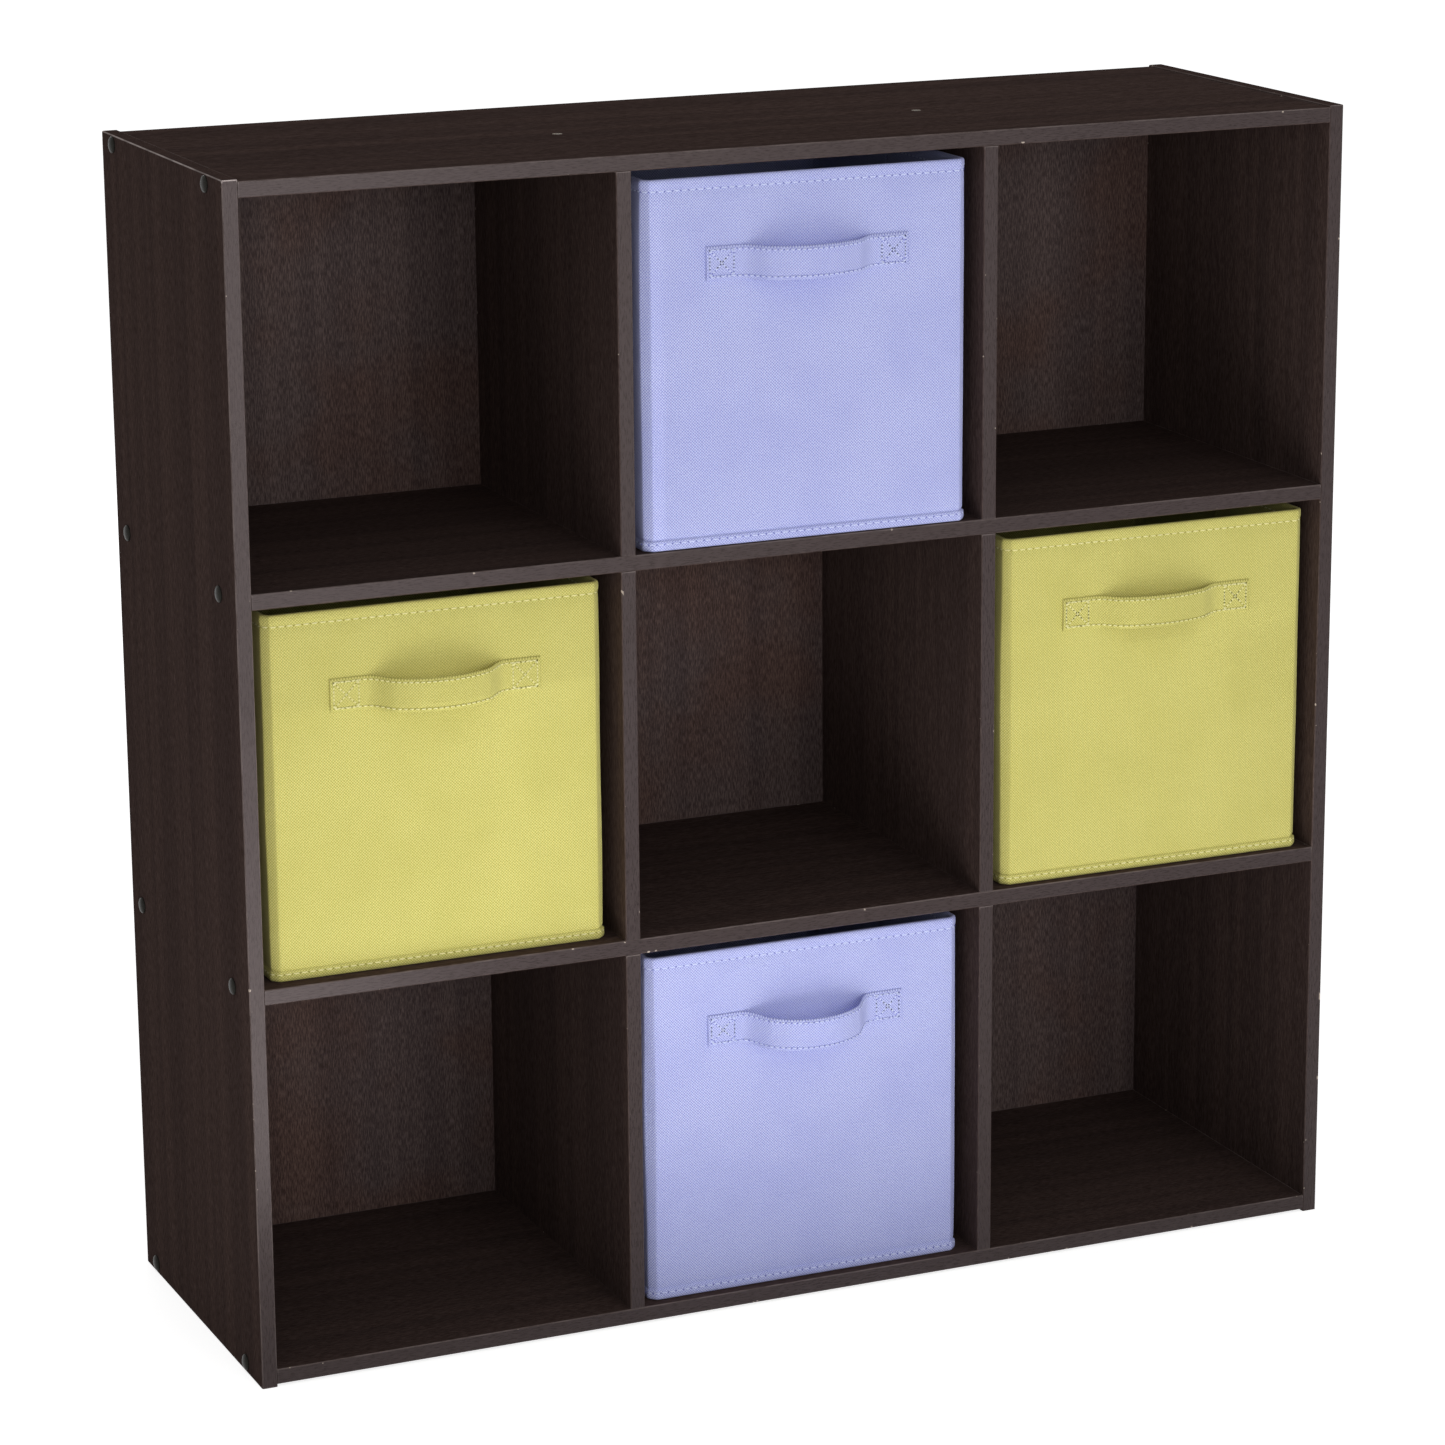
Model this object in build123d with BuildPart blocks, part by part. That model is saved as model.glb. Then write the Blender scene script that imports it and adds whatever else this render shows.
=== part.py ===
"""Nine-cube storage unit with four fabric drawers.

Millimetres, +Z up, front towards -Y. The origin is on the floor, under the middle of the whole unit.
"""

import os

from build123d import *

os.makedirs("parts", exist_ok=True)

# Carcass
unit_width = 914.0
unit_height = 914.0
unit_depth = 296.0  # front edges to the rear face of the back boards
board = 12.0  # thickness of the sides, shelves and dividers
back_thickness = 3.0
top_step = 1.4  # the sides stand this far above the top panel
foot_step = 2.0  # and reach this far below the bottom panel
edge_ease = 0.7  # eased front edges of the boards
back_inset = 2.0  # back boards stop short of the outer edges
back_seam = 1.0  # gap between neighbouring back boards

# Small fasteners and their bores are drawn with flats, which keeps so many of them light
fastener_sides = 8
nail_sides = 6
socket_sides = 6

# Side screws, their caps and the divider screws
front_screw_setback = 38.0  # from the front edge
rear_screw_setback = 27.0  # from the rear edge of the board
side_screw_diameter = 5.0
side_screw_length = 40.0
divider_screw_setback = 130.0  # from the front edge
divider_screw_diameter = 4.0
divider_screw_length = 35.0
screw_head_diameter = 8.0
screw_head_height = 2.0
screw_tip_length = 3.0
screw_tip_diameter = 1.2
socket_width = 3.4  # corner to corner
socket_depth = 1.6
cap_diameter = 12.5
cap_rim_height = 0.8  # straight edge below the dome
cap_shoulder_diameter = 9.0
cap_shoulder_height = 2.2
cap_crown_diameter = 4.0
cap_height = 3.0
screw_clearance = 0.1  # radial
stem_clearance = 0.1  # radial
stem_end_clearance = 0.2
bore_end_clearance = 1.0  # room beyond the end of a screw, dowel or nail

# Dowels
dowel_diameter = 6.0
dowel_setback = 40.0  # from the front and the rear edges
dowel_divider_depth = 20.0
dowel_panel_depth = 8.0  # blind, in the top and bottom panels
dowel_clearance = 0.1  # radial

# Nails
nail_diameter = 1.6
nail_length = 16.0
nail_head_diameter = 4.5
nail_head_height = 0.8
nail_spread = 140.0  # between the two nails of a back board in each shelf
nail_clearance = 0.1  # radial

# Fabric drawers
drawer_side_gap = 11.3  # between a drawer and the board at each side of its cube
drawer_head_gap = 8.2  # above a drawer
drawer_depth_gap = 27.0  # depth of a cube that a drawer leaves free, in front of it and behind it
drawer_corner = 8.0  # outside radius of the upright corners
cloth = 0.8
side_board_thickness = 2.0
pocket_clearance = 0.2  # each side of a side board
fold_gap = 3.0  # between the two half boards of a left or right wall, where it folds
rim_height = 2.4  # cloth folded over the top of the boards
hem_height = 8.0
hem_thickness = 1.0
base_board_thickness = 3.0
base_board_clearance = 1.5  # all round, inside the lining
base_board_corner = 5.0
sewn_clearance = 0.1
rest_clearance = 0.3  # under a drawer, and under a loose base board

# Strap handle
strap_length = 166.0
strap_width = 25.4
strap_thickness = 1.6
strap_drop = 52.0  # rim to the strap's top edge
tab_length = 25.0
strap_rise_length = 38.0  # from a tab to the flat middle

column_names = ("left", "middle", "right")
row_names = ("bottom", "middle", "top")

# Each drawer: column, row, recess behind the front edges, sideways shift and bow of its strap
drawers = {
    "top_drawer": ("middle", "top", 2.0, -2.0, 18.0),
    "left_drawer": ("left", "middle", 13.0, 0.0, 22.0),
    "right_drawer": ("right", "middle", 7.4, 1.0, 14.0),
    "bottom_drawer": ("middle", "bottom", 8.4, -3.0, 30.0),
}

# Places worked out from the sizes above
panel_depth = unit_depth - back_thickness
inner_width = unit_width - 2 * board
cell_width = (inner_width - (len(column_names) - 1) * board) / len(column_names)
stack_height = unit_height - top_step - foot_step
cell_height = (stack_height - (len(row_names) + 1) * board) / len(row_names)
column_pitch = cell_width + board
row_pitch = cell_height + board
drawer_width = cell_width - 2 * drawer_side_gap
drawer_height = cell_height - rest_clearance - drawer_head_gap
drawer_depth = panel_depth - drawer_depth_gap
strap_reach = max(bow + strap_thickness - recess for _, _, recess, _, bow in drawers.values())
front_reach = max(strap_reach, 0)
front_y = (front_reach - unit_depth - nail_head_height) / 2
rear_y = front_y + panel_depth
middle_y = (front_y + rear_y) / 2
screw_rows = (front_y + front_screw_setback, rear_y - rear_screw_setback)
dowel_rows = (front_y + dowel_setback, rear_y - dowel_setback)
divider_screw_y = front_y + divider_screw_setback
levels = [foot_step + row * row_pitch for row in range(len(row_names) + 1)]
side_bore = side_screw_diameter / 2 + screw_clearance
side_bore_depth = side_screw_length - board + bore_end_clearance
divider_bore = divider_screw_diameter / 2 + screw_clearance
divider_bore_depth = divider_screw_length - board + bore_end_clearance
head_bore = screw_head_diameter / 2 + screw_clearance
dowel_bore = dowel_diameter / 2 + dowel_clearance
nail_bore = nail_diameter / 2 + nail_clearance
nail_bore_depth = nail_length - back_thickness + bore_end_clearance
drawer_wall = 2 * cloth + side_board_thickness + 2 * pocket_clearance


def column_x(column):
    """Middle of a column of cubes."""
    return (column - (len(column_names) - 1) / 2) * column_pitch


def divider_x(column):
    """Middle of the dividers to the right of a column."""
    return column_x(column) + column_pitch / 2


def shelf_top(row):
    """Upper face of the board that a row of cubes stands on."""
    return levels[row] + board


def shelf_nails(column):
    """Sideways places of the nails from one back board into each horizontal."""
    return (column_x(column) - nail_spread / 2, column_x(column) + nail_spread / 2)


divider_lines = [divider_x(column) for column in range(len(column_names) - 1)]
side_of_column = {0: -1, len(column_names) - 1: 1}  # columns that stand against a side panel
side_nail_heights = [shelf_top(row) + cell_height / 2 for row in range(len(row_names))]
dowel_spots = [(x, y) for x in divider_lines for y in dowel_rows]


def finish(builder, name):
    """Label a finished piece and write it."""
    builder.part.label = name
    export_step(builder.part, f"parts/{name}.step")


def facing(x, y, z, direction):
    """Plane at a point, looking along a direction."""
    return Plane(origin=(x, y, z), z_dir=direction)


def side_screw_places(side):
    """Heads of the screws of one side, on its outer face."""
    face = side * unit_width / 2
    return [facing(face, y, level + board / 2, (side, 0, 0)) for level in levels for y in screw_rows]


def divider_screw_places(is_top):
    """Heads of the screws into the dividers, on top of the unit or underneath it."""
    face = levels[-1] + board if is_top else levels[0]
    direction = (0, 0, 1) if is_top else (0, 0, -1)
    return [facing(x, divider_screw_y, face, direction) for x in divider_lines]


def side_panel(name, side):
    """Full-height side, bored and counterbored for the screws into the four horizontals."""
    middle_x = side * (unit_width - board) / 2
    with BuildPart() as panel:
        with BuildSketch():
            with Locations((middle_x, middle_y)):
                Rectangle(board, panel_depth)
        extrude(amount=unit_height)
        front_edges = panel.edges().filter_by(Axis.Z).group_by(Axis.Y)[0]
        top_edges = panel.edges().filter_by(Axis.Y).group_by(Axis.Z)[-1]
        chamfer(front_edges + top_edges, edge_ease)
        with BuildSketch(*side_screw_places(side)):
            RegularPolygon(side_bore, fastener_sides)
        extrude(amount=-board, mode=Mode.SUBTRACT)
        with BuildSketch(*side_screw_places(side)):
            RegularPolygon(head_bore, fastener_sides)
        extrude(amount=-screw_head_height, mode=Mode.SUBTRACT)
        with BuildSketch(*[facing(middle_x, rear_y, z, (0, 1, 0)) for z in side_nail_heights]):
            RegularPolygon(nail_bore, nail_sides)
        extrude(amount=-nail_bore_depth, mode=Mode.SUBTRACT)
    finish(panel, name)


def horizontal(name, index):
    """Top panel, shelf or bottom panel, with screw bores in its ends and holes for the dividers."""
    low = levels[index]
    high = low + board
    is_bottom = index == 0
    is_top = index == len(levels) - 1
    with BuildPart() as panel:
        with BuildSketch(Plane.XY.offset(low)):
            with Locations((0, middle_y)):
                Rectangle(inner_width, panel_depth)
        extrude(amount=board)
        chamfer(panel.edges().filter_by(Axis.X).group_by(Axis.Y)[0], edge_ease)
        ends = [
            facing(side * inner_width / 2, y, low + board / 2, (side, 0, 0))
            for side in (-1, 1)
            for y in screw_rows
        ]
        with BuildSketch(*ends):
            RegularPolygon(side_bore, fastener_sides)
        extrude(amount=-side_bore_depth, mode=Mode.SUBTRACT)
        nails = [
            facing(x, rear_y, low + board / 2, (0, 1, 0))
            for column in range(len(column_names))
            for x in shelf_nails(column)
        ]
        with BuildSketch(*nails):
            RegularPolygon(nail_bore, nail_sides)
        extrude(amount=-nail_bore_depth, mode=Mode.SUBTRACT)
        # A dowel goes right through a shelf, and part of the way into the top and bottom panels
        dowel_face = low if is_top else high
        dowel_direction = (0, 0, -1) if is_top else (0, 0, 1)
        dowel_depth = dowel_panel_depth + bore_end_clearance if is_top or is_bottom else board
        with BuildSketch(*[facing(x, y, dowel_face, dowel_direction) for x, y in dowel_spots]):
            RegularPolygon(dowel_bore, fastener_sides)
        extrude(amount=-dowel_depth, mode=Mode.SUBTRACT)
        if is_top or is_bottom:
            with BuildSketch(*divider_screw_places(is_top)):
                RegularPolygon(divider_bore, fastener_sides)
            extrude(amount=-board, mode=Mode.SUBTRACT)
            with BuildSketch(*divider_screw_places(is_top)):
                RegularPolygon(head_bore, fastener_sides)
            extrude(amount=-screw_head_height, mode=Mode.SUBTRACT)
    finish(panel, name)


def divider(name, line_x, row):
    """Short upright between two horizontals, bored at both ends."""
    low = shelf_top(row)
    high = low + cell_height
    with BuildPart() as upright:
        with BuildSketch(Plane.XY.offset(low)):
            with Locations((line_x, middle_y)):
                Rectangle(board, panel_depth)
        extrude(amount=cell_height)
        chamfer(upright.edges().filter_by(Axis.Z).group_by(Axis.Y)[0], edge_ease)
        ends = [facing(line_x, y, low, (0, 0, -1)) for y in dowel_rows]
        ends += [facing(line_x, y, high, (0, 0, 1)) for y in dowel_rows]
        with BuildSketch(*ends):
            RegularPolygon(dowel_bore, fastener_sides)
        extrude(amount=-dowel_divider_depth - bore_end_clearance, mode=Mode.SUBTRACT)
        screw_ends = []
        if row == len(row_names) - 1:
            screw_ends.append(facing(line_x, divider_screw_y, high, (0, 0, 1)))
        if row == 0:
            screw_ends.append(facing(line_x, divider_screw_y, low, (0, 0, -1)))
        if screw_ends:
            with BuildSketch(*screw_ends):
                RegularPolygon(divider_bore, fastener_sides)
            extrude(amount=-divider_bore_depth, mode=Mode.SUBTRACT)
    finish(upright, name)


def board_nails(column):
    """Nails of one back board: two into each horizontal, and a row into the side where there is one."""
    rear = rear_y + back_thickness
    places = [
        facing(x, rear, level + board / 2, (0, 1, 0)) for level in levels for x in shelf_nails(column)
    ]
    if column in side_of_column:
        side_x = side_of_column[column] * (unit_width - board) / 2
        places += [facing(side_x, rear, z, (0, 1, 0)) for z in side_nail_heights]
    return places


def back_board(name, column):
    """Thin hardboard behind one column, from the middle of one upright to the middle of the next."""
    reach = (column_pitch - back_seam) / 2
    edge = unit_width / 2 - back_inset
    left = -edge if column == 0 else column_x(column) - reach
    right = edge if column == len(column_names) - 1 else column_x(column) + reach
    low = levels[0] + back_inset
    high = levels[-1] + board - back_inset
    with BuildPart() as sheet:
        with BuildSketch(Plane.XZ.offset(-rear_y)):
            with Locations(((left + right) / 2, (low + high) / 2)):
                Rectangle(right - left, high - low)
        extrude(amount=-back_thickness)
        with BuildSketch(*board_nails(column)):
            RegularPolygon(nail_bore, nail_sides)
        extrude(amount=-back_thickness, mode=Mode.SUBTRACT)
    finish(sheet, name)


def turned(sides, *stretches):
    """Small turned piece with flats, from stretches of (low, radius there, high, radius there)."""
    with BuildPart() as piece:
        for low, low_radius, high, high_radius in stretches:
            with BuildSketch(Plane.XY.offset(low)):
                RegularPolygon(low_radius, sides)
            with BuildSketch(Plane.XY.offset(high)):
                RegularPolygon(high_radius, sides)
            loft(ruled=True)
    return piece.part


def flat_headed_screw(diameter, length):
    """Screw with its head's face at the origin and its tip down, and a hexagon socket."""
    head = screw_head_diameter / 2
    shank = diameter / 2
    tip = screw_tip_diameter / 2
    with BuildPart() as screw:
        add(
            turned(
                fastener_sides,
                (-length, tip, screw_tip_length - length, shank),
                (screw_tip_length - length, shank, -screw_head_height, shank),
                (-screw_head_height, head, 0, head),
            )
        )
        with BuildSketch():
            RegularPolygon(socket_width / 2, socket_sides)
        extrude(amount=-socket_depth, mode=Mode.SUBTRACT)
    return screw.part


def screw_cap():
    """Domed cap with a stem that plugs into the socket of a screw."""
    rim = cap_diameter / 2
    shoulder = cap_shoulder_diameter / 2
    crown = cap_crown_diameter / 2
    with BuildPart() as cap:
        add(
            turned(
                fastener_sides,
                (0, rim, cap_rim_height, rim),
                (cap_rim_height, rim, cap_shoulder_height, shoulder),
                (cap_shoulder_height, shoulder, cap_height, crown),
            )
        )
        with BuildSketch():
            RegularPolygon(socket_width / 2 - stem_clearance, socket_sides)
        extrude(amount=stem_end_clearance - socket_depth)
    return cap.part


def copies(name, piece, places):
    """Identical small pieces as one group of separate solids."""
    with BuildPart() as group:
        with Locations(*places):
            add(piece)
    finish(group, name)


# Panels of the carcass
side_panel("left_side_panel", -1)
side_panel("right_side_panel", 1)
for index, name in enumerate(("bottom_panel", "lower_shelf", "upper_shelf", "top_panel")):
    horizontal(name, index)
for row, row_name in enumerate(row_names):
    for line_x, side_name in zip(divider_lines, ("left", "right")):
        divider(f"{row_name}_{side_name}_divider", line_x, row)
for column, column_name in enumerate(column_names):
    back_board(f"{column_name}_back_board", column)

# Screws and caps
side_screw = flat_headed_screw(side_screw_diameter, side_screw_length)
divider_screw = flat_headed_screw(divider_screw_diameter, divider_screw_length)
cap = screw_cap()
for side, side_name in ((-1, "left"), (1, "right")):
    copies(f"{side_name}_side_screws", side_screw, side_screw_places(side))
    copies(f"{side_name}_screw_caps", cap, side_screw_places(side))
copies("top_divider_screws", divider_screw, divider_screw_places(True))
copies("bottom_divider_screws", divider_screw, divider_screw_places(False))

# Dowels: long ones through the shelves, short ones in the top and bottom panels
dowel_spans = [(shelf_top(0) - dowel_panel_depth, shelf_top(0) + dowel_divider_depth)]
for level in levels[1:-1]:
    dowel_spans.append((level - dowel_divider_depth, level + board + dowel_divider_depth))
dowel_spans.append((levels[-1] - dowel_divider_depth, levels[-1] + dowel_panel_depth))
with BuildPart() as divider_dowels:
    for low, high in dowel_spans:
        with BuildSketch(Plane.XY.offset(low)):
            with Locations(*dowel_spots):
                RegularPolygon(dowel_diameter / 2, fastener_sides)
        extrude(amount=high - low)
finish(divider_dowels, "divider_dowels")

# Nails through the back boards into the rear edges of the horizontals and of the sides
nail = turned(
    nail_sides,
    (-nail_length, nail_diameter / 2, 0, nail_diameter / 2),
    (0, nail_head_diameter / 2, nail_head_height, nail_head_diameter / 2),
)
all_nails = [place for column in range(len(column_names)) for place in board_nails(column)]
copies("back_board_nails", nail, all_nails)


def rounded_outline(outset):
    """Outline of a drawer with rounded corners, let out by an amount."""
    RectangleRounded(drawer_width + 2 * outset, drawer_depth + 2 * outset, drawer_corner + outset)


def inner_outline(inset):
    """Outline inside a drawer's outer cloth, with its corners cut off."""
    with BuildSketch() as outline:
        Rectangle(drawer_width - 2 * inset, drawer_depth - 2 * inset)
        chamfer(outline.vertices(), drawer_corner - inset)
    return outline.sketch


def drawer_cover(name, seat):
    """Outer cloth: four walls, the fold over the top of the boards and the sewn hem at the bottom."""
    with BuildPart() as cover:
        with BuildSketch(seat):
            rounded_outline(hem_thickness)
        extrude(amount=hem_height)
        with BuildSketch(seat):
            rounded_outline(0)
        extrude(amount=drawer_height)
        with BuildSketch(seat):
            add(inner_outline(cloth))
        extrude(amount=drawer_height - rim_height, mode=Mode.SUBTRACT)
        with BuildSketch(seat):
            add(inner_outline(drawer_wall))
        extrude(amount=drawer_height, mode=Mode.SUBTRACT)
    finish(cover, name)


def drawer_lining(name, seat):
    """Inner cloth behind the side boards, from the base cloth up to the fold of the cover."""
    with BuildPart() as lining:
        with BuildSketch(seat.offset(cloth)):
            add(inner_outline(drawer_wall - cloth))
            add(inner_outline(drawer_wall), mode=Mode.SUBTRACT)
        extrude(amount=drawer_height - rim_height - cloth)
    finish(lining, name)


def drawer_base_cloth(name, seat):
    """Cloth under the drawer, sewn in along the bottom hem."""
    with BuildPart() as base_cloth:
        with BuildSketch(seat):
            add(inner_outline(cloth + sewn_clearance))
        extrude(amount=cloth)
    finish(base_cloth, name)


def drawer_side_boards(name, seat):
    """Stiff boards in the pockets between cover and lining: whole at front and back, halved at the sides."""
    inset = cloth + pocket_clearance + side_board_thickness / 2
    low = cloth + sewn_clearance
    half_length = (drawer_depth - 2 * drawer_corner - fold_gap) / 2
    with BuildPart() as boards:
        with BuildSketch(seat.offset(low)):
            with GridLocations(0, drawer_depth - 2 * inset, 1, 2):
                Rectangle(drawer_width - 2 * drawer_corner, side_board_thickness)
            with GridLocations(drawer_width - 2 * inset, half_length + fold_gap, 2, 2):
                Rectangle(side_board_thickness, half_length)
        extrude(amount=drawer_height - rim_height - sewn_clearance - low)
    finish(boards, name)


def drawer_base_board(name, seat):
    """Loose board that keeps the bottom flat."""
    inset = drawer_wall + base_board_clearance
    with BuildPart() as base_board:
        with BuildSketch(seat.offset(cloth + rest_clearance)) as outline:
            Rectangle(drawer_width - 2 * inset, drawer_depth - 2 * inset)
            chamfer(outline.vertices(), base_board_corner)
        extrude(amount=base_board_thickness)
    finish(base_board, name)


def drawer_handle(name, seat, bow):
    """Strap sewn flat to the front at both ends and bowed out between them."""
    face = -drawer_depth / 2
    strap_end = -strap_length / 2
    tab_end = strap_end + tab_length
    crest = tab_end + strap_rise_length
    with BuildPart() as handle:
        with BuildSketch(seat.offset(drawer_height - strap_drop - strap_width)):
            with BuildLine():
                Line((strap_end, face), (tab_end, face))
                halfway = ((tab_end + crest) / 2, face - bow / 2)
                rise = TangentArc((tab_end, face), halfway, tangent=(1, 0))
                TangentArc(rise @ 1, (crest, face - bow), tangent=rise % 1)
                Line((crest, face - bow), (0, face - bow))
                mirror(about=Plane.YZ)
                offset(amount=strap_thickness, side=Side.RIGHT)
            make_face()
        extrude(amount=strap_width)
    finish(handle, name)


# Fabric drawers
for name, (column_name, row_name, recess, shift, bow) in drawers.items():
    seat = Plane(
        origin=(
            column_x(column_names.index(column_name)) + shift,
            front_y + recess + drawer_depth / 2,
            shelf_top(row_names.index(row_name)) + rest_clearance,
        )
    )
    drawer_cover(f"{name}_cover", seat)
    drawer_lining(f"{name}_lining", seat)
    drawer_base_cloth(f"{name}_base_cloth", seat)
    drawer_side_boards(f"{name}_side_boards", seat)
    drawer_base_board(f"{name}_base_board", seat)
    drawer_handle(f"{name}_handle", seat, bow)
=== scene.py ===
"""Looks of a nine-cube storage unit with four fabric drawers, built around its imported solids.

Metres, +Z up, front towards -Y.
"""

import math

import bpy
from mathutils import Matrix, Vector, noise


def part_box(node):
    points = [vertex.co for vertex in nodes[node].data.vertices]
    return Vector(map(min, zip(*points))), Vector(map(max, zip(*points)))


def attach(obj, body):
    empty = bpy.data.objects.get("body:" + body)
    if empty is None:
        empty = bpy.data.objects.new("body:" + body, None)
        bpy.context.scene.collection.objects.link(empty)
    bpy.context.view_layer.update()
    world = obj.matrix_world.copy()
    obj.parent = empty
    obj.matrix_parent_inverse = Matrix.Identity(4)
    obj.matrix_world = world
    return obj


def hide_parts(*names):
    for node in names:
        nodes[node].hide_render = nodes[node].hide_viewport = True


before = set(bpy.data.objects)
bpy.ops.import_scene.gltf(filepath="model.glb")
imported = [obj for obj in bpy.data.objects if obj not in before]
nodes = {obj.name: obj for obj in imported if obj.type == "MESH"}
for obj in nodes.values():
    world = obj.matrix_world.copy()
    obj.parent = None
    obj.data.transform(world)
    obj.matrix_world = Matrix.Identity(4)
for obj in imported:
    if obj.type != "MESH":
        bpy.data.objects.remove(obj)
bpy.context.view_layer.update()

# Camera, as the photograph was taken
photo_width = 1445  # pixels
focal_length = 4754  # pixels
sensor_width = 36.0  # millimetres
camera_place = Vector((-1.472, -3.333, 1.3947))
camera_yaw = math.radians(23.61)
camera_pitch = math.radians(-14.75)
camera_roll = math.radians(-0.44)

# Light
ambient_level = 0.37
backdrop_level = 1.0
floor_lift = 0.76  # makes the unshaded floor white to the camera and in reflections
floor_reach = 30.0
lamp_target = (0, 0, 0.45)
floor_lamp_height = 0.02
strip_turn = math.radians(-17.9)  # along the line of floor that the left front edge mirrors

# Boards, by the run of their grain
upright_boards = ["left_side_panel", "right_side_panel"]
for row in ("bottom", "middle", "top"):
    upright_boards += [f"{row}_{side}_divider" for side in ("left", "right")]
level_boards = ("bottom_panel", "lower_shelf", "upper_shelf", "top_panel")
# Strength of the pale line at board edges: rubbed wear, plus a painted highlight along each top edge
usual_wear_and_highlight = 0.2
left_side_wear_and_highlight = 1.0

# Fasteners, as in the solids
front_screw_setback = 0.038
rear_screw_setback = 0.027
divider_screw_setback = 0.130
screw_head_radius = 0.004
screw_head_height = 0.002
socket_radius = 0.0017
socket_depth = 0.0016
cap_radius = 0.00625
cap_height = 0.003
cap_rim_height = 0.0008

# Finer shapes of the fasteners
screw_head_rounding = 0.0003
shank_radius = 0.0019
shank_length = 0.012
socket_rounding = 0.0002
socket_tip = 0.0003
cap_rim_inset = 0.0004
cap_rim_rounding = 0.0003
closed_radius = 0.00002  # where a turned piece ends on its axis

# Fabric drawers, as in the solids
cloth = 0.0008
hem_height = 0.008
hem_thickness = 0.001
strap_thickness = 0.0016
tab_length = 0.025

# Finer shapes of the drawers
corner_bevel = 0.0056  # taken off each wall at an upright corner
bevel_rounding = 0.0032
corner_puff = 0.5  # share that the bottom hem stands out further at a corner
fold_depth = 0.0088  # rim to the stitch line of the top hem
lining_outset = -0.0041  # inside of the lining, from the outside of the cover
lining_foot = 0.004
lining_limit = -0.0038  # cloth further in than this is lining or base
base_reach = 0.012  # from a wall to where the base runs flat
crease_half_width = 0.0009  # where a left or right wall folds
crease_depth_inside = 0.0013
crease_depth_outside = 0.0006
front_slack = 0.0004
wall_slack = 0.0011
slack_mean = 0.55
slack_spread = 0.9
slack_fullness = 0.6
slack_waves = 9.0  # how fast the slack changes from place to place
seed_spread = 7.0  # sets the slack of the drawers apart

# Finer shapes of the straps
strap_sags = {"top_drawer": 0.0015, "left_drawer": 0.002, "right_drawer": 0.0015, "bottom_drawer": 0.004}
strap_bend = 0.022  # stretch in which a strap leaves its tab
strap_arch = 2.2
strap_puff = 0.00022
strap_puff_inset = 0.003
strap_puff_rise = 0.004
strap_pinch = 0.00018  # under a row of stitches
strap_pinch_width = 0.0007
strap_rounding = 0.0009
strap_back_rounding = 0.0006

# Sewing
thread_radius = 0.0005
twist_rate = 9000.0  # radians in a metre of thread
# Share of a stitch's length, then its lift and its size in thread radii
stitch_shape = ((0.0, -0.7, 0.55), (0.22, 0.45, 1.0), (0.78, 0.45, 1.0), (1.0, -0.7, 0.55))
# A disc of painted shade marks each needle hole
needle_shade_radius = 0.0007
needle_shade_lift = 0.00012
hem_stitch = (0.0064, 0.0045)  # pitch and length
strap_stitch = (0.0044, 0.003)
box_stitch = (0.003, 0.0022)
box_stitch_size = 0.0195
strap_stitch_inset = 0.0026
rim_stitch_outset = -0.0004
hem_stitch_outset = 0.0007
hem_stitch_height = 0.0056
hatch_pitch = 0.0016

# Fineness of the meshes
round_steps = 32
dome_steps = 10
thread_sides = 6
wall_step = 0.007
bevel_steps = 4
wall_rows = 30
lining_rows = 12
strap_half_steps = 60
strap_face_steps = 16

front, up = Vector((0, -1, 0)), Vector((0, 0, 1))


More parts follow.
